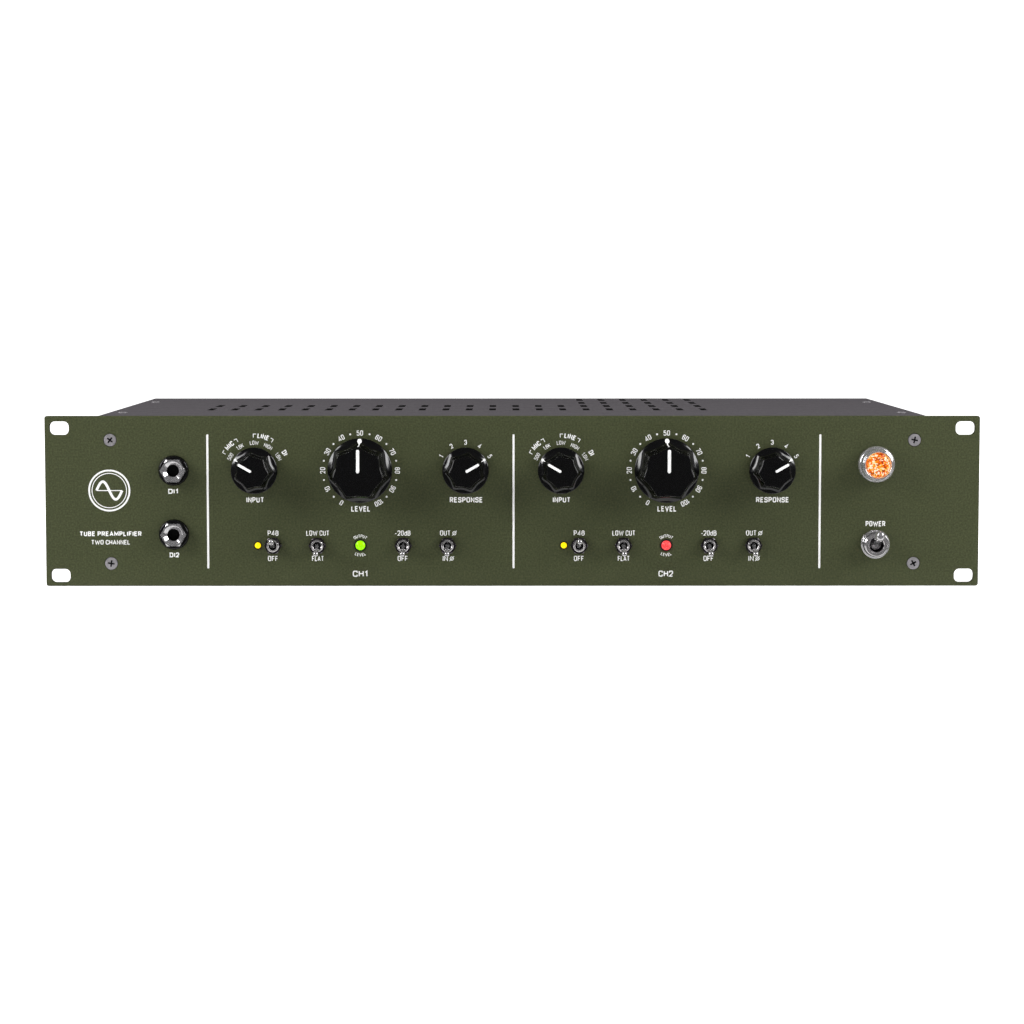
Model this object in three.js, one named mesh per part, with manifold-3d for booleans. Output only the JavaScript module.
// A two-channel vacuum-tube microphone preamplifier in a 2U, 19-inch rack case.
// Millimetres. X runs along the front panel, Y from the panel to the rear, and Z up.
// Pieces are placed from the panel: its front face is y = 0, its lower edge z = 0 and its middle
// x = 0. At the end the whole group is moved so that its origin is the bottom centre of its box.
import * as THREE from "three";
import { mergeVertices } from "three/addons/utils/BufferGeometryUtils.js";
import Module from "manifold-3d";

const wasm = await Module();
wasm.setup();

// ---------------------------------------------------------------- driving dimensions

const SEAT = 0.3; // gap left between two pieces that rest on each other
const HOLE_CLEARANCE = 0.3; // radial clearance of a fixed barrel in its hole
const RUNNING_CLEARANCE = 0.3; // clearance around a shaft, ball or sliding piece

const PANEL = { width: 482.6, height: 88.1, thickness: 3.2, corner: 1.2 };
const RACK_SLOT = { length: 10, width: 7, corner: 2.7, pitchX: 467.6, pitchZ: 76.4, z: 43.6 };
const TRAY = { width: 431.8, rear: 254, wall: 1.5, foot: 1, flange: 14 };
const COVER = { thickness: 1.5, belowPanelTop: 0.6 };
const PANEL_SCREW = { headRadius: 3.25, shankRadius: 1.7, length: 9, pitchX: 415.2, pitchZ: 63.9, z: 43.7 };

const VENT = { width: 3.2, length: 25.4, columnPitch: 12.86, rowPitch: 44.45, firstX: -164.9, firstY: 97 };
const VENT_COLUMNS = 22;
const VENT_ROWS = 2; // rows of slots over the tubes
const DEEP_VENT_COLUMNS = 6; // the last columns, over the power supply, have more rows
const DEEP_VENT_ROWS = 4;

const CHANNEL_MIDDLES = [-78.7, 79.6];
const SELECTOR_OFFSET = 54.5; // from the channel's middle to its two rotary switches
const TOGGLE_OFFSETS = [-45.1, -22.2, 22.2, 45.1];
const PHANTOM_LED_OFFSET = -53;
const KNOB_Z = 60;
const TOGGLE_Z = 21.1;

const KNOB_FLUTES = 7;
const POINTS_PER_FLUTE = 4;
const KNOB_FLUTE_DEPTH = 0.868; // a flute's radius at the front, as a share of the ridges'
const KNOB_EDGE = 0.6; // bevel around the front face
const KNOB_RIM = 1.7; // height of the round rim
const KNOB_GAP = 1.5; // from the panel to the knob's rim
const LEVEL_KNOB = { rim: 16.7, grip: 13.5, height: 22.2, hollow: 10.5 };
const SELECTOR_KNOB = { rim: 12, grip: 8.7, height: 15.5, hollow: 8 };
const KNOB_HOLLOW_DEPTH = 6;
const SHAFT_RADIUS = 3;
const BUSHING = { radius: 4.75, reach: 6, boreDepth: 14 }; // potentiometers and rotary switches
const BUSHING_NUT = { acrossFlats: 12, thickness: 2.2 };
const LEVEL_POT = { radius: 12, depth: 11 };
const ROTARY_SWITCH = { radius: 13, depth: 19 };

const MINI_TOGGLE = {
  bushing: 3.15,
  bore: 2.1,
  reach: 4,
  nutFlats: 7.9,
  nutThickness: 2,
  pivotY: -1.5,
  tilt: 14,
  lever: { length: 12.9, root: 0.85, tip: 1.5, ball: 1.75, tail: 2.4 },
  body: { width: 6.6, height: 12.7, depth: 9.5 },
  boreDepth: 6,
};
const TOGGLE_BOARD = { width: 104, height: 15, thickness: 1.6 };
const POWER_TOGGLE = {
  bushing: 5.95,
  bore: 3.8,
  reach: 7,
  pivotY: -3,
  tilt: 19,
  lever: { length: 18.8, root: 1.6, tip: 2.6, ball: 2.9, tail: 4 },
  body: { width: 17, height: 29, depth: 22 },
  boreDepth: 12,
};
const POWER_NUT = { wall: 1.15, thickness: 3.4 }; // the wall stands around its thread
const POWER_TOGGLE_PLACE = { x: 187.6, z: 21.8 };

const LAMP = {
  jewel: 6.35,
  barrelWall: 0.45,
  lipWall: 1.05, // these walls stand around the jewel's bore
  shoulderWall: 1.65,
  rimWall: 2.9,
  reach: 9.4,
  depth: 24,
  jewelSeat: 2.4,
};
const LAMP_PLACE = { x: 187.9, z: 63.1 };

const LEVEL_LED = { radius: 2.5, reach: 1.4, clip: 0.65 };
const PHANTOM_LED = { radius: 1.55, reach: 1, clip: 0.5 };
const LED_BODY_DEPTH = 5;

const JACK = { bore: 3.25, thread: 4.5, rim: 7.85, rimThickness: 1.9, reach: 4.4, boreDepth: 26 };
const JACK_BARREL = 5.7;
const JACK_CASE = { width: 16, height: 16, depth: 25 };
const JACK_NUT = { acrossFlats: 11.5, thickness: 2.6 };
const JACK_X = -174.9;
const JACK_HEIGHTS = [60, 26.9];

const AUDIO_FLANGE = { width: 26, height: 31, thickness: 2.2, corner: 3 };
const AUDIO_BARREL = { radius: 11.6, depth: 24 };
const AUDIO_Z = 45;
const INPUT_SOCKET = { well: 9.7, insert: 7.9, wellDepth: 13 };
const LATCH = { width: 8, height: 3.4, length: 7, reach: 2.6, z: 12.5 };
const OUTPUT_PLUG = { well: 8.2, wellDepth: 14, pin: 1.2, pinLength: 12, pinCircle: 4.8 };
const INPUT_SOCKET_X = [-160, -50];
const OUTPUT_PLUG_X = [-115, -5];

const INLET = { x: 165, z: 45, flangeWidth: 50, flangeHeight: 33, flangeThickness: 3 };
const INLET_BODY = { width: 30, height: 29, depth: 30 };
const INLET_WELL = { width: 24.4, height: 16.4, depth: 16, z: -4.5 };
const INLET_BLADE = { width: 2, height: 4.4, length: 13, spread: 7, drop: 2.4 };
const FUSE_DRAWER = { width: 20, height: 5.6, depth: 24, z: 9.4, faceWidth: 23, faceHeight: 7, faceThickness: 2 };

const BOARD = { x: -72, y: 128, width: 236, depth: 92, thickness: 1.6, height: 9, cornerInset: 6 };
const STANDOFF_RADIUS = 3;
const TUBE_SOCKET = { radius: 11, height: 7, bore: 5.6 };
const TUBE = { radius: 10.4, height: 46, pinCircle: 5, pinDepth: 5 };
const TUBE_X = [-158, -108, -36, 14];
const TUBE_Y = 116;
const CAPACITOR = { radius: 8, height: 30, y: 160 };
const CAPACITOR_X = [-170, -133, -83, -61, -11, 26];

const TOROID = { x: 150, y: 152, radius: 46, bore: 15, height: 44, washer: 20, washerHeight: 3, bolt: 3 };
const OUTPUT_TRANSFORMER = { width: 44, depth: 26, height: 38, coilWidth: 30, coilDepth: 38, coilHeight: 26 };
const OUTPUT_TRANSFORMER_PLACES = [-110, -2];
const INPUT_CAN = { radius: 14, height: 34, cap: 1.5 };
const INPUT_CAN_PLACES = [-176, -62];
const REAR_ROW_Y = 204;

// ---------------------------------------------------------------- what follows from them

const coverTop = PANEL.height - COVER.belowPanelTop;
const trayTop = coverTop - COVER.thickness - SEAT;
const trayFront = PANEL.thickness + SEAT;
const floorZ = TRAY.foot + TRAY.wall;
const lampBore = LAMP.jewel + HOLE_CLEARANCE;
const lampBarrel = lampBore + LAMP.barrelWall;
const powerNutBore = POWER_TOGGLE.bushing + SEAT;
const connectorFace = TRAY.rear + SEAT; // the plane that the rear connectors' flanges rest on
const selectorKnobTurns = { input: -60, response: 60 }; // degrees clockwise from straight up

// ---------------------------------------------------------------- materials

/** A plain surface of one colour. */
const surface = (color, roughness, metalness) =>
  new THREE.MeshStandardMaterial({ color, roughness, metalness });

const OLIVE_PAINT = surface(0x4b4e37, 0.55, 0.2);
const BLACK_STEEL = surface(0x3f3d42, 0.6, 0.3);
const ZINC = surface(0xa9a7a8, 0.4, 0.9);
const CHROME = surface(0xc9c9cc, 0.15, 1);
const PHENOLIC = surface(0x101012, 0.2, 0);
const BLACK_PLASTIC = surface(0x17171a, 0.45, 0);
const NICKEL = surface(0xb4b3b0, 0.3, 1);
const GREEN_LENS = surface(0x88ee10, 0.2, 0);
const RED_LENS = surface(0xee2028, 0.2, 0);
const YELLOW_LENS = surface(0xffe600, 0.2, 0);
const AMBER_JEWEL = surface(0xff8a1c, 0.1, 0);
const CIRCUIT_BOARD = surface(0x1e5a38, 0.5, 0);
const GLASS = surface(0xcfd6d8, 0.05, 0);
const CORE_STEEL = surface(0x55565a, 0.5, 0.6);
const WINDING_TAPE = surface(0xd8b23c, 0.5, 0);

// ---------------------------------------------------------------- solids

/** A closed geometry as a manifold-3d solid. */
function solidOf(geometry) {
  const bare = geometry.index ? geometry.toNonIndexed() : geometry.clone();
  bare.deleteAttribute("normal");
  bare.deleteAttribute("uv");
  const merged = mergeVertices(bare, 1e-4);
  const vertProperties = merged.attributes.position.array;
  const triVerts = new Uint32Array(merged.index.array);
  return new wasm.Manifold(new wasm.Mesh({ numProp: 3, vertProperties, triVerts }));
}

/** A manifold-3d solid as a geometry. */
function geometryOf(solid) {
  const mesh = solid.getMesh();
  return new THREE.BufferGeometry()
    .setAttribute("position", new THREE.BufferAttribute(mesh.vertProperties, 3))
    .setIndex(new THREE.BufferAttribute(mesh.triVerts, 1))
    .toNonIndexed();
}

/** The solids joined into one. */
const join = (...solids) => solids.reduce((all, one) => all.add(one));

/** The first solid less the others. */
const cut = (solid, ...tools) => tools.reduce((left, tool) => left.subtract(tool), solid);

/** A box between two corners. */
function block([x0, y0, z0], [x1, y1, z1]) {
  const box = new THREE.BoxGeometry(x1 - x0, y1 - y0, z1 - z0);
  return solidOf(box.translate((x0 + x1) / 2, (y0 + y1) / 2, (z0 + z1) / 2));
}

/** A box of that size around a middle in x and z, from y0 to y1. */
const slab = (x, z, width, height, y0, y1) =>
  block([x - width / 2, y0, z - height / 2], [x + width / 2, y1, z + height / 2]);

/** A profile of [radius, y] points turned about the Y axis: it starts and ends on the axis, and
 * its outside runs towards +y. */
function turned(profile, segments) {
  const points = profile.map(([radius, y]) => new THREE.Vector2(radius, y));
  return solidOf(new THREE.LatheGeometry(points, segments));
}

/** A rod along Y from y0 to y1. */
const rod = (radius, y0, y1, segments = 16) =>
  turned([[0, y0], [radius, y0], [radius, y1], [0, y1]], segments);

/** A six-sided prism along Y, two of its flats level. */
const hexagon = (acrossFlats, y0, y1) =>
  rod(acrossFlats / Math.sqrt(3), y0, y1, 6).rotate([0, 30, 0]);

/** An upright cylinder. */
const post = (x, y, z0, z1, radius, segments = 16) =>
  rod(radius, 0, z1 - z0, segments).rotate([90, 0, 0]).translate([x, y, z0]);

/** A closed outline drawn in X and Z, made thick from y0 to y1. */
function plate(shape, y0, y1, curveSegments = 6) {
  const flat = new THREE.ExtrudeGeometry(shape, { depth: y1 - y0, bevelEnabled: false, curveSegments });
  return solidOf(flat.rotateX(Math.PI / 2).translate(0, y1, 0));
}

/** A rectangle with rounded corners, around the middle (x, z). */
function roundedRectangle(x, z, width, height, radius, Outline = THREE.Shape) {
  const [left, right, low, high] = [x - width / 2, x + width / 2, z - height / 2, z + height / 2];
  const outline = new Outline();
  outline.moveTo(left + radius, low);
  outline.lineTo(right - radius, low);
  outline.absarc(right - radius, low + radius, radius, -Math.PI / 2, 0);
  outline.absarc(right - radius, high - radius, radius, 0, Math.PI / 2);
  outline.absarc(left + radius, high - radius, radius, Math.PI / 2, Math.PI);
  outline.absarc(left + radius, low + radius, radius, Math.PI, Math.PI * 1.5);
  return outline;
}

/** A round hole in an outline. */
function roundHole(x, z, radius) {
  const hole = new THREE.Path();
  hole.absarc(x, z, radius, 0, Math.PI * 2);
  return hole;
}

/** Each combination of left or right with low or high, as a pair of signs. */
const CORNERS = [[-1, 1], [1, 1], [-1, -1], [1, -1]];

// ---------------------------------------------------------------- case

/** The holes that the front panel has for its controls, each {x, z, radius}. */
function controlHoles() {
  const holes = [];
  for (const middle of CHANNEL_MIDDLES) {
    for (const offset of [-SELECTOR_OFFSET, 0, SELECTOR_OFFSET])
      holes.push({ x: middle + offset, z: KNOB_Z, radius: BUSHING.radius + HOLE_CLEARANCE });
    for (const offset of TOGGLE_OFFSETS)
      holes.push({ x: middle + offset, z: TOGGLE_Z, radius: MINI_TOGGLE.bushing + HOLE_CLEARANCE });
    holes.push({ x: middle, z: TOGGLE_Z, radius: LEVEL_LED.radius + LEVEL_LED.clip });
    const phantomRadius = PHANTOM_LED.radius + PHANTOM_LED.clip;
    holes.push({ x: middle + PHANTOM_LED_OFFSET, z: TOGGLE_Z, radius: phantomRadius });
  }
  for (const z of JACK_HEIGHTS) holes.push({ x: JACK_X, z, radius: JACK_BARREL + HOLE_CLEARANCE });
  holes.push({ ...LAMP_PLACE, radius: lampBarrel + HOLE_CLEARANCE });
  holes.push({ ...POWER_TOGGLE_PLACE, radius: POWER_TOGGLE.bushing + HOLE_CLEARANCE });
  return holes;
}

/** Where the four panel screws stand. */
const panelScrewPlaces = () =>
  CORNERS.map(([x, z]) => ({
    x: (x * PANEL_SCREW.pitchX) / 2,
    z: PANEL_SCREW.z + (z * PANEL_SCREW.pitchZ) / 2,
  }));

/** A countersunk screw's outline, its head level with y = 0, grown by a clearance. */
function screwSolid(grow, length) {
  const head = PANEL_SCREW.headRadius + grow;
  const shank = PANEL_SCREW.shankRadius + grow;
  const coneEnd = head - shank; // a 90 degree cone
  return turned([[0, 0], [head, 0], [shank, coneEnd], [shank, length], [0, length]], 12);
}

/** The aluminium front panel: rack slots, control holes and countersinks. */
function frontPanel() {
  const shape = roundedRectangle(0, PANEL.height / 2, PANEL.width, PANEL.height, PANEL.corner);
  const { length, width, corner, pitchX, pitchZ } = RACK_SLOT;
  for (const [x, z] of CORNERS) {
    const place = [(x * pitchX) / 2, RACK_SLOT.z + (z * pitchZ) / 2];
    shape.holes.push(roundedRectangle(...place, length, width, corner, THREE.Path));
  }
  for (const hole of controlHoles()) shape.holes.push(roundHole(hole.x, hole.z, hole.radius));
  const sinks = panelScrewPlaces().map(({ x, z }) =>
    screwSolid(HOLE_CLEARANCE, PANEL.thickness + 1).translate([x, -0.001, z]),
  );
  return cut(plate(shape, 0, PANEL.thickness), ...sinks);
}

/** A panel screw with its cross recess. */
function panelScrew() {
  const recess = { width: 0.9, length: 3.4, depth: 1.2 };
  const across = slab(0, 0, recess.length, recess.width, -1, recess.depth);
  const upright = slab(0, 0, recess.width, recess.length, -1, recess.depth);
  return cut(screwSolid(0, PANEL_SCREW.length), across, upright);
}

/** The folded steel tray: floor, sides, rear wall, open front frame and the flange that the cover
 * rests on. */
function chassisTray() {
  const half = TRAY.width / 2;
  const { wall, flange, rear, foot } = TRAY;
  const shell = block([-half, trayFront, foot], [half, rear, trayTop]);
  const inside = block(
    [-half + wall, trayFront + wall, floorZ],
    [half - wall, rear - wall, trayTop - wall],
  );
  const mouth = block(
    [-half + flange, trayFront + flange, floorZ],
    [half - flange, rear - flange, trayTop + 1],
  );
  const frontFrame = { side: 12, edge: 5 };
  const window = block(
    [-half + frontFrame.side, trayFront - 1, foot + frontFrame.edge],
    [half - frontFrame.side, trayFront + wall + 1, trayTop - frontFrame.edge],
  );
  const screwHoles = panelScrewPlaces().map(({ x, z }) =>
    rod(PANEL_SCREW.shankRadius + HOLE_CLEARANCE, trayFront - 1, trayFront + wall + 1, 12)
      .translate([x, 0, z]),
  );
  return cut(shell, inside, mouth, window, ...screwHoles, ...rearCutouts());
}

/** What the tray's rear wall is cut out for. */
function rearCutouts() {
  const y0 = TRAY.rear - TRAY.wall - 1;
  const y1 = TRAY.rear + 1;
  const round = [...INPUT_SOCKET_X, ...OUTPUT_PLUG_X].map((x) =>
    rod(AUDIO_BARREL.radius + HOLE_CLEARANCE, y0, y1, 20).translate([x, 0, AUDIO_Z]),
  );
  const latches = INPUT_SOCKET_X.map((x) =>
    slab(x, AUDIO_Z + LATCH.z, LATCH.width + 2, LATCH.height + 2, y0, y1),
  );
  const width = INLET_BODY.width + 2 * HOLE_CLEARANCE;
  const height = INLET_BODY.height + 2 * HOLE_CLEARANCE;
  return [...round, ...latches, slab(INLET.x, INLET.z, width, height, y0, y1)];
}

/** The flat perforated cover. */
function topCover() {
  const half = TRAY.width / 2;
  const z0 = coverTop - COVER.thickness;
  const sheet = block([-half, trayFront, z0], [half, TRAY.rear, coverTop]);
  const slots = [];
  for (let column = 0; column < VENT_COLUMNS; column++) {
    const deep = column >= VENT_COLUMNS - DEEP_VENT_COLUMNS;
    for (let row = 0; row < (deep ? DEEP_VENT_ROWS : VENT_ROWS); row++) {
      const x = VENT.firstX + column * VENT.columnPitch;
      const y = VENT.firstY + row * VENT.rowPitch;
      const low = [x - VENT.width / 2, y - VENT.length / 2, z0 - 1];
      slots.push(block(low, [x + VENT.width / 2, y + VENT.length / 2, coverTop + 1]));
    }
  }
  return cut(sheet, ...slots);
}

// ---------------------------------------------------------------- knobs and what they turn

/** How far a fluted knob's side is from its axis, at an angle from a ridge. down is 0 at the front
 * edge and 1 where the side meets the rim. */
function knobRadius({ rim, grip }, angle, down) {
  const half = Math.PI / KNOB_FLUTES;
  const turn = ((angle % (2 * half)) + 2 * half) % (2 * half);
  const fromFlute = Math.abs(turn / half - 1);
  const hollow = grip * KNOB_FLUTE_DEPTH;
  const ridge = grip + (rim - grip) * down ** 1.25;
  const flute = hollow + (rim - hollow) * down ** 2.1;
  return flute + (ridge - flute) * fromFlute ** 1.75;
}

/** A closed body from rings of points, each ring {y, radiusAt}: radiusAt gives the radius at an
 * angle from +Z, where a ridge is. */
function ringBody(rings, count) {
  const ringPoint = ({ y, radiusAt }, i) => {
    const angle = (i / count) * Math.PI * 2;
    const radius = radiusAt(angle);
    return [radius * Math.sin(angle), y, radius * Math.cos(angle)];
  };
  const points = rings.flatMap((ring) => Array.from({ length: count }, (_, i) => ringPoint(ring, i)));
  const first = points.push([0, rings[0].y, 0]) - 1;
  const last = points.push([0, rings.at(-1).y, 0]) - 1;
  const faces = [];
  for (let i = 0; i < count; i++) {
    const next = (i + 1) % count;
    for (let ring = 0; ring + 1 < rings.length; ring++) {
      const [a, b] = [ring * count + i, ring * count + next];
      faces.push(a, b, b + count, a, b + count, a + count);
    }
    faces.push(first, next, i);
    const top = (rings.length - 1) * count;
    faces.push(last, top + i, top + next);
  }
  const geometry = new THREE.BufferGeometry();
  geometry.setAttribute("position", new THREE.Float32BufferAttribute(points.flat(), 3));
  return solidOf(geometry.setIndex(faces));
}

/** A phenolic knob with a round rim and a fluted grip, hollow behind, joined to its shaft. */
function knob(size, shaftEnd) {
  const back = -KNOB_GAP;
  const front = back - size.height;
  const side = front + KNOB_EDGE;
  const rimTop = back - KNOB_RIM;
  const level = (down) => side + (rimTop - side) * down;
  const sideRing = (down) => ({ y: level(down), radiusAt: (angle) => knobRadius(size, angle, down) });
  const body = ringBody(
    [
      { y: front, radiusAt: (angle) => knobRadius(size, angle, 0) - KNOB_EDGE },
      ...[0, 0.35, 0.7, 1].map(sideRing),
      { y: back, radiusAt: () => size.rim },
    ],
    KNOB_FLUTES * POINTS_PER_FLUTE,
  );
  const cavity = rod(size.hollow, back - KNOB_HOLLOW_DEPTH, 1, 20);
  return join(cut(body, cavity), rod(SHAFT_RADIUS, back - KNOB_HOLLOW_DEPTH - 1, shaftEnd, 12));
}

/** A potentiometer or rotary switch: its case, threaded bushing and panel nut. */
function shaftControl({ radius, depth }) {
  const bore = SHAFT_RADIUS + RUNNING_CLEARANCE;
  const caseFront = PANEL.thickness + SEAT;
  const body = turned(
    [
      [0, BUSHING.boreDepth - BUSHING.reach],
      [bore, BUSHING.boreDepth - BUSHING.reach],
      [bore, -BUSHING.reach],
      [BUSHING.radius, -BUSHING.reach],
      [BUSHING.radius, caseFront],
      [radius, caseFront],
      [radius, caseFront + depth],
      [0, caseFront + depth],
    ],
    16,
  );
  const nut = cut(
    hexagon(BUSHING_NUT.acrossFlats, -SEAT - BUSHING_NUT.thickness, -SEAT),
    rod(BUSHING.radius - 0.3, -BUSHING.reach, 1),
  );
  return join(body, nut);
}

// ---------------------------------------------------------------- toggle switches

/** A toggle's bushing, open in front, and the case behind the panel. */
function toggleSwitch({ bushing, bore, reach, body, boreDepth }, segments) {
  const caseFront = PANEL.thickness + SEAT;
  const barrel = turned(
    [
      [0, boreDepth - reach],
      [bore, boreDepth - reach],
      [bore, -reach],
      [bushing, -reach],
      [bushing, caseFront + 1],
      [0, caseFront + 1],
    ],
    segments,
  );
  return join(barrel, slab(0, 0, body.width, body.height, caseFront, caseFront + body.depth));
}

/** A bat-shaped lever around its pivot, pointing at -Y: tail, ball, shank and rounded tip. */
function toggleLever({ length, root, tip, ball, tail }, segments) {
  return turned(
    [
      [0, -length - tip],
      [tip * 0.7, -length - tip * 0.7],
      [tip, -length],
      [tip * 0.92, -length + tip],
      [root, -ball * 1.2],
      [ball * 0.87, -ball * 0.5],
      [ball, 0],
      [ball * 0.87, ball * 0.5],
      [root, ball * 1.1],
      [root, tail],
      [0, tail],
    ],
    segments,
  );
}

/** One channel's four miniature toggles on the small board that carries them. */
function toggleBank() {
  const { bushing, nutFlats, nutThickness, body } = MINI_TOGGLE;
  const nut = cut(hexagon(nutFlats, -SEAT - nutThickness, -SEAT), rod(bushing - 0.3, -4, 1, 12));
  const one = join(toggleSwitch(MINI_TOGGLE, 12), nut);
  const boardFront = PANEL.thickness + SEAT + body.depth - 0.5;
  const { width, height, thickness } = TOGGLE_BOARD;
  const board = slab(0, 0, width, height, boardFront, boardFront + thickness);
  return join(board, ...TOGGLE_OFFSETS.map((x) => one.translate([x, 0, 0])));
}

/** The round nut that clamps the power switch. */
const powerNut = () =>
  cut(
    rod(powerNutBore + POWER_NUT.wall, -SEAT - POWER_NUT.thickness, -SEAT, 24),
    rod(powerNutBore, -POWER_TOGGLE.reach, 1, 24),
  );

// ---------------------------------------------------------------- lamps

/** The pilot lamp's turned bezel and barrel, open in front for the jewel. */
function lampHolder() {
  const lip = lampBore + LAMP.lipWall;
  return turned(
    [
      [0, LAMP.jewelSeat],
      [lampBore, LAMP.jewelSeat],
      [lampBore, -LAMP.reach],
      [lip - 0.3, -LAMP.reach],
      [lip, -LAMP.reach + 0.3],
      [lip, -LAMP.reach + 1],
      [lampBore + LAMP.shoulderWall, -LAMP.reach + 1.4],
      [lampBore + LAMP.rimWall, -SEAT],
      [lampBarrel, -SEAT],
      [lampBarrel, LAMP.depth],
      [0, LAMP.depth],
    ],
    24,
  );
}

/** The faceted jewel. */
function lampJewel() {
  const front = -LAMP.reach;
  return turned(
    [
      [0, front - 0.4],
      [LAMP.jewel * 0.8, front],
      [LAMP.jewel, front + 1],
      [LAMP.jewel, LAMP.jewelSeat - SEAT],
      [0, LAMP.jewelSeat - SEAT],
    ],
    20,
  );
}

/** A light-emitting diode that stands a little proud of the panel. */
function led({ radius, reach }) {
  return turned(
    [
      [0, -reach],
      [radius * 0.6, -reach * 0.8],
      [radius, 0],
      [radius, PANEL.thickness + SEAT],
      [radius + 0.4, PANEL.thickness + SEAT],
      [radius + 0.4, PANEL.thickness + SEAT + LED_BODY_DEPTH],
      [0, PANEL.thickness + SEAT + LED_BODY_DEPTH],
    ],
    14,
  );
}

// ---------------------------------------------------------------- jacks and rear connectors

/** A quarter-inch jack: threaded nose, black rim in front of the panel, and case behind it. */
function jackBody() {
  const { bore, thread, rim, rimThickness, reach, boreDepth } = JACK;
  const caseFront = PANEL.thickness + SEAT;
  const nose = turned(
    [
      [0, caseFront + 1],
      [bore, caseFront + 1],
      [bore, -reach],
      [thread, -reach],
      [thread, -SEAT - rimThickness],
      [rim - 0.8, -SEAT - rimThickness],
      [rim, -SEAT],
      [JACK_BARREL, -SEAT],
      [JACK_BARREL, caseFront + 2],
      [0, caseFront + 2],
    ],
    20,
  );
  const { width, height, depth } = JACK_CASE;
  const behind = slab(0, 0, width, height, caseFront, caseFront + depth);
  return cut(join(nose, behind), rod(bore, -reach - 1, boreDepth - reach, 20));
}

/** The jack's hexagonal nut. */
function jackNut() {
  const back = -2 * SEAT - JACK.rimThickness;
  const ring = hexagon(JACK_NUT.acrossFlats, back - JACK_NUT.thickness, back);
  return cut(ring, rod(JACK.thread + SEAT, -10, 0, 20));
}

/** The flange and barrel that both kinds of audio connector share, facing -Y. */
function audioShell() {
  const { width, height, thickness, corner } = AUDIO_FLANGE;
  const flange = plate(roundedRectangle(0, 0, width, height, corner), -thickness, 0, 3);
  return join(flange, rod(AUDIO_BARREL.radius, -thickness, AUDIO_BARREL.depth, 20));
}

/** A latching three-contact input socket: a ring-shaped well around its insert. */
function inputSocket() {
  const front = -AUDIO_FLANGE.thickness;
  const { well, insert, wellDepth } = INPUT_SOCKET;
  const ring = cut(rod(well, front - 1, front + wellDepth, 20), rod(insert, front - 2, 30, 20));
  const width = LATCH.width + 2 * RUNNING_CLEARANCE;
  const height = LATCH.height + 2 * RUNNING_CLEARANCE;
  const latchWay = slab(0, LATCH.z, width, height, front - 1, AUDIO_BARREL.depth + 1);
  return cut(audioShell(), ring, latchWay);
}

/** The push tab that releases a plug from an input socket. */
function latchTab() {
  const front = -AUDIO_FLANGE.thickness - LATCH.reach;
  return slab(0, LATCH.z, LATCH.width, LATCH.height, front, front + LATCH.length);
}

/** A three-pin output connector: a round well with its pins. */
function outputPlug() {
  const front = -AUDIO_FLANGE.thickness;
  const { well, wellDepth, pin, pinLength, pinCircle } = OUTPUT_PLUG;
  const floor = front + wellDepth;
  const pins = [150, 30, 270].map((degrees) => {
    const angle = THREE.MathUtils.degToRad(degrees);
    const place = [pinCircle * Math.cos(angle), 0, pinCircle * Math.sin(angle)];
    return rod(pin, floor - pinLength, floor + 1, 8).translate(place);
  });
  return join(cut(audioShell(), rod(well, front - 1, floor, 20)), ...pins);
}

/** The mains inlet: flange, well with three blades, and the way for the fuse drawer. */
function mainsInlet() {
  const { flangeWidth, flangeHeight, flangeThickness } = INLET;
  const flange = plate(roundedRectangle(0, 0, flangeWidth, flangeHeight, 4), -flangeThickness, 0, 3);
  const body = slab(0, 0, INLET_BODY.width, INLET_BODY.height, -1, INLET_BODY.depth);
  const front = -flangeThickness;
  const well = slab(0, INLET_WELL.z, INLET_WELL.width, INLET_WELL.height, front - 1, front + INLET_WELL.depth);
  const drawerWay = slab(
    0,
    FUSE_DRAWER.z,
    FUSE_DRAWER.width + 2 * RUNNING_CLEARANCE,
    FUSE_DRAWER.height + 2 * RUNNING_CLEARANCE,
    front - 1,
    front + FUSE_DRAWER.depth + RUNNING_CLEARANCE,
  );
  const floor = front + INLET_WELL.depth;
  const { width, height, length, spread, drop } = INLET_BLADE;
  const blades = [[-spread, -drop], [0, drop], [spread, -drop]].map(([x, z]) =>
    slab(x, INLET_WELL.z + z, width, height, floor - length, floor + 1),
  );
  return join(cut(join(flange, body), well, drawerWay), ...blades);
}

/** The drawer that holds the mains fuse, with its finger lip. */
function fuseDrawer() {
  const { width, height, depth, z, faceWidth, faceHeight, faceThickness } = FUSE_DRAWER;
  const front = -INLET.flangeThickness - SEAT;
  const face = slab(0, z, faceWidth, faceHeight, front - faceThickness, front);
  const drawer = slab(0, z, width, height, front - 1, front + depth);
  const trough = block([-width / 2 + 2, front + 3, z - 0.2], [width / 2 - 2, front + depth - 2, z + height]);
  const fuse = slab(0, z + 0.4, width - 3, 2, front + 5, front + 9);
  return join(cut(join(face, drawer), trough), fuse);
}

// ---------------------------------------------------------------- inside the case

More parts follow.
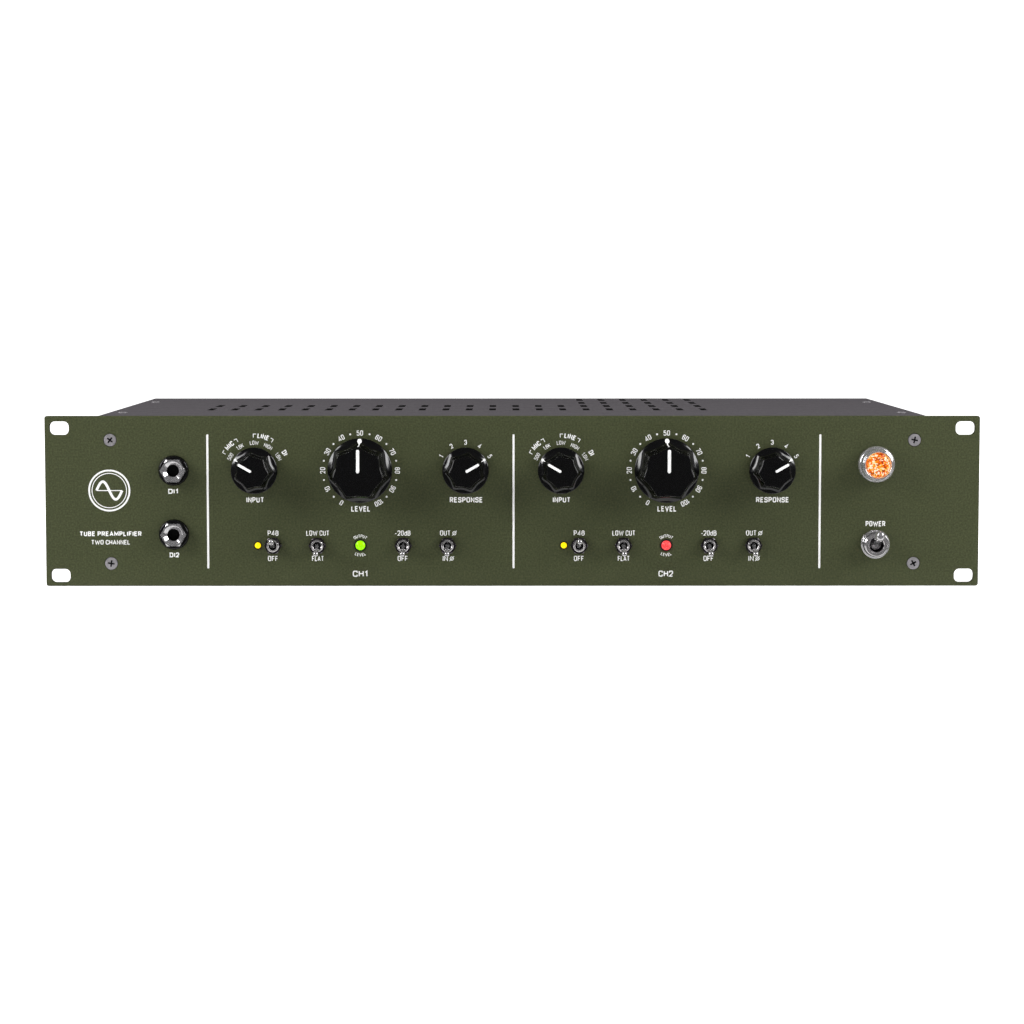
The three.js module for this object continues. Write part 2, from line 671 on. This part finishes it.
/** The circuit board with the tube sockets, reservoir capacitors and feet soldered to it. */
function mainBoard() {
  const { x, y, width, depth, thickness, height, cornerInset } = BOARD;
  const z0 = floorZ + height;
  const z1 = z0 + thickness;
  const sheet = block([x - width / 2, y - depth / 2, z0], [x + width / 2, y + depth / 2, z1]);
  const feet = CORNERS.map(([sx, sy]) => {
    const footX = x + sx * (width / 2 - cornerInset);
    const footY = y + sy * (depth / 2 - cornerInset);
    return post(footX, footY, floorZ + SEAT, z0 + 0.5, STANDOFF_RADIUS, 8);
  });
  const capacitors = CAPACITOR_X.map((cx) =>
    post(cx, CAPACITOR.y, z1 - 0.5, z1 + CAPACITOR.height, CAPACITOR.radius, 14),
  );
  const sockets = TUBE_X.map((tx) =>
    post(tx, TUBE_Y, z1 - 0.5, z1 + TUBE_SOCKET.height, TUBE_SOCKET.radius, 16),
  );
  const bores = TUBE_X.map((tx) =>
    post(tx, TUBE_Y, z1 + 1, z1 + TUBE_SOCKET.height + 1, TUBE_SOCKET.bore, 12),
  );
  return cut(join(sheet, ...feet, ...capacitors, ...sockets), ...bores);
}

/** A nine-pin miniature tube: glass envelope with its exhaust tip, and the pin circle below. */
function tube() {
  const { radius, height, pinCircle, pinDepth } = TUBE;
  return turned(
    [
      [0, -pinDepth],
      [pinCircle, -pinDepth],
      [pinCircle, SEAT],
      [radius * 0.86, SEAT],
      [radius, 2.5],
      [radius, height - 7],
      [radius * 0.78, height - 2.5],
      [radius * 0.3, height],
      [0, height + 3.5],
    ],
    16,
  );
}

/** The toroidal mains transformer with its dished washer and bolt. */
function powerTransformer() {
  const { radius, bore, height, washer, washerHeight, bolt } = TOROID;
  const round = 5;
  return turned(
    [
      [0, SEAT],
      [radius - round, SEAT],
      [radius, round],
      [radius, height - round],
      [radius - round, height],
      [washer, height],
      [bore, height + washerHeight],
      [bolt, height + washerHeight],
      [bolt, height + washerHeight + 4],
      [0, height + washerHeight + 4],
    ],
    24,
  );
}

/** A laminated output transformer with its coil. */
function outputTransformer() {
  const { width, depth, height, coilWidth, coilDepth, coilHeight } = OUTPUT_TRANSFORMER;
  const core = block([-width / 2, -depth / 2, SEAT], [width / 2, depth / 2, height]);
  const low = (height - coilHeight) / 2;
  const coil = block(
    [-coilWidth / 2, -coilDepth / 2, low],
    [coilWidth / 2, coilDepth / 2, low + coilHeight],
  );
  return join(core, coil);
}

/** The screening can of an input transformer. */
const inputCan = () =>
  turned(
    [
      [0, SEAT],
      [INPUT_CAN.radius, SEAT],
      [INPUT_CAN.radius, INPUT_CAN.height - INPUT_CAN.cap],
      [INPUT_CAN.radius - INPUT_CAN.cap, INPUT_CAN.height],
      [0, INPUT_CAN.height],
    ],
    16,
  );

// ---------------------------------------------------------------- assembly

const preamplifier = new THREE.Group();

/** Adds a named mesh of a solid to a group. */
function add(name, solid, material, group = preamplifier) {
  const mesh = new THREE.Mesh(geometryOf(solid), material);
  mesh.name = name;
  group.add(mesh);
  return mesh;
}

/** Adds a group at a place, in which pieces are drawn about their own axis. */
function groupAt(x, y, z) {
  const group = new THREE.Group();
  group.position.set(x, y, z);
  preamplifier.add(group);
  return group;
}

const radians = THREE.MathUtils.degToRad;

add("front_panel", frontPanel(), OLIVE_PAINT);
add("chassis_tray", chassisTray(), BLACK_STEEL);
add("top_cover", topCover(), BLACK_STEEL);

const cornerNames = ["top_left", "top_right", "bottom_left", "bottom_right"];
panelScrewPlaces().forEach(({ x, z }, i) =>
  add(`panel_screw_${cornerNames[i]}`, panelScrew(), ZINC, groupAt(x, 0, z)),
);

/** One rotary control: the fixed part behind the panel, and the knob turned to its rest angle. */
function addControl(name, fixedName, x, knobSize, controlSize, turn) {
  const group = groupAt(x, 0, KNOB_Z);
  add(fixedName, shaftControl(controlSize), ZINC, group);
  const shaftEnd = BUSHING.boreDepth - BUSHING.reach - RUNNING_CLEARANCE;
  add(name, knob(knobSize, shaftEnd), PHENOLIC, group).rotation.y = radians(turn);
}

/** A toggle lever in its switch: up is tilted towards +Z. */
function addLever(name, size, x, z, up, segments) {
  const lever = toggleLever(size.lever, segments).rotate([up ? -size.tilt : size.tilt, 0, 0]);
  add(name, lever, CHROME, groupAt(x, size.pivotY, z));
}

CHANNEL_MIDDLES.forEach((middle, i) => {
  const channel = `ch${i + 1}`;
  const { input, response } = selectorKnobTurns;
  const inputX = middle - SELECTOR_OFFSET;
  const responseX = middle + SELECTOR_OFFSET;
  addControl(`input_knob_${channel}`, `input_switch_${channel}`, inputX, SELECTOR_KNOB, ROTARY_SWITCH, input);
  addControl(`level_knob_${channel}`, `level_pot_${channel}`, middle, LEVEL_KNOB, LEVEL_POT, 0);
  addControl(
    `response_knob_${channel}`,
    `response_switch_${channel}`,
    responseX,
    SELECTOR_KNOB,
    ROTARY_SWITCH,
    response,
  );

  add(`toggle_bank_${channel}`, toggleBank(), NICKEL, groupAt(middle, 0, TOGGLE_Z));
  ["phantom", "low_cut", "pad", "polarity"].forEach((use, k) => {
    const leverX = middle + TOGGLE_OFFSETS[k];
    addLever(`${use}_lever_${channel}`, MINI_TOGGLE, leverX, TOGGLE_Z, use === "phantom", 10);
  });

  const levelLens = i === 0 ? GREEN_LENS : RED_LENS;
  add(`level_led_${channel}`, led(LEVEL_LED), levelLens, groupAt(middle, 0, TOGGLE_Z));
  const phantomX = middle + PHANTOM_LED_OFFSET;
  add(`phantom_led_${channel}`, led(PHANTOM_LED), YELLOW_LENS, groupAt(phantomX, 0, TOGGLE_Z));
});

const powerPlace = groupAt(POWER_TOGGLE_PLACE.x, 0, POWER_TOGGLE_PLACE.z);
add("power_switch", toggleSwitch(POWER_TOGGLE, 20), NICKEL, powerPlace);
add("power_switch_nut", powerNut(), CHROME, powerPlace);
addLever("power_lever", POWER_TOGGLE, POWER_TOGGLE_PLACE.x, POWER_TOGGLE_PLACE.z, true, 14);

const lampPlace = groupAt(LAMP_PLACE.x, 0, LAMP_PLACE.z);
add("pilot_lamp_holder", lampHolder(), CHROME, lampPlace);
add("pilot_lamp_jewel", lampJewel(), AMBER_JEWEL, lampPlace);

JACK_HEIGHTS.forEach((z, i) => {
  const place = groupAt(JACK_X, 0, z);
  add(`instrument_jack_${i + 1}`, jackBody(), BLACK_PLASTIC, place);
  add(`jack_nut_${i + 1}`, jackNut(), CHROME, place);
});

/** A place on the rear wall, turned to face the rear. */
function rearPlace(x, z) {
  const group = groupAt(x, connectorFace, z);
  group.rotation.z = Math.PI;
  return group;
}

INPUT_SOCKET_X.forEach((x, i) => {
  const place = rearPlace(x, AUDIO_Z);
  add(`mic_input_socket_${i + 1}`, inputSocket(), BLACK_PLASTIC, place);
  add(`input_latch_${i + 1}`, latchTab(), NICKEL, place);
});
OUTPUT_PLUG_X.forEach((x, i) =>
  add(`line_output_plug_${i + 1}`, outputPlug(), BLACK_PLASTIC, rearPlace(x, AUDIO_Z)),
);
const inletPlace = rearPlace(INLET.x, INLET.z);
add("mains_inlet", mainsInlet(), BLACK_PLASTIC, inletPlace);
add("fuse_drawer", fuseDrawer(), BLACK_PLASTIC, inletPlace);

/** A place inside the case for a piece that is turned about its upright axis. */
function uprightPlace(x, y, z) {
  const group = groupAt(x, y, z);
  group.rotation.x = Math.PI / 2;
  return group;
}

add("main_board", mainBoard(), CIRCUIT_BOARD);
const socketTop = floorZ + BOARD.height + BOARD.thickness + TUBE_SOCKET.height;
TUBE_X.forEach((x, i) => add(`tube_${i + 1}`, tube(), GLASS, uprightPlace(x, TUBE_Y, socketTop)));
add("power_transformer", powerTransformer(), WINDING_TAPE, uprightPlace(TOROID.x, TOROID.y, floorZ));
OUTPUT_TRANSFORMER_PLACES.forEach((x, i) =>
  add(`output_transformer_${i + 1}`, outputTransformer(), CORE_STEEL, groupAt(x, REAR_ROW_Y, floorZ)),
);
INPUT_CAN_PLACES.forEach((x, i) =>
  add(`input_transformer_${i + 1}`, inputCan(), NICKEL, uprightPlace(x, REAR_ROW_Y, floorZ)),
);

// The origin goes to the bottom centre of everything.
const bounds = new THREE.Box3().setFromObject(preamplifier);
const centre = bounds.getCenter(new THREE.Vector3());
preamplifier.position.set(-centre.x, -centre.y, -bounds.min.z);

export default preamplifier;
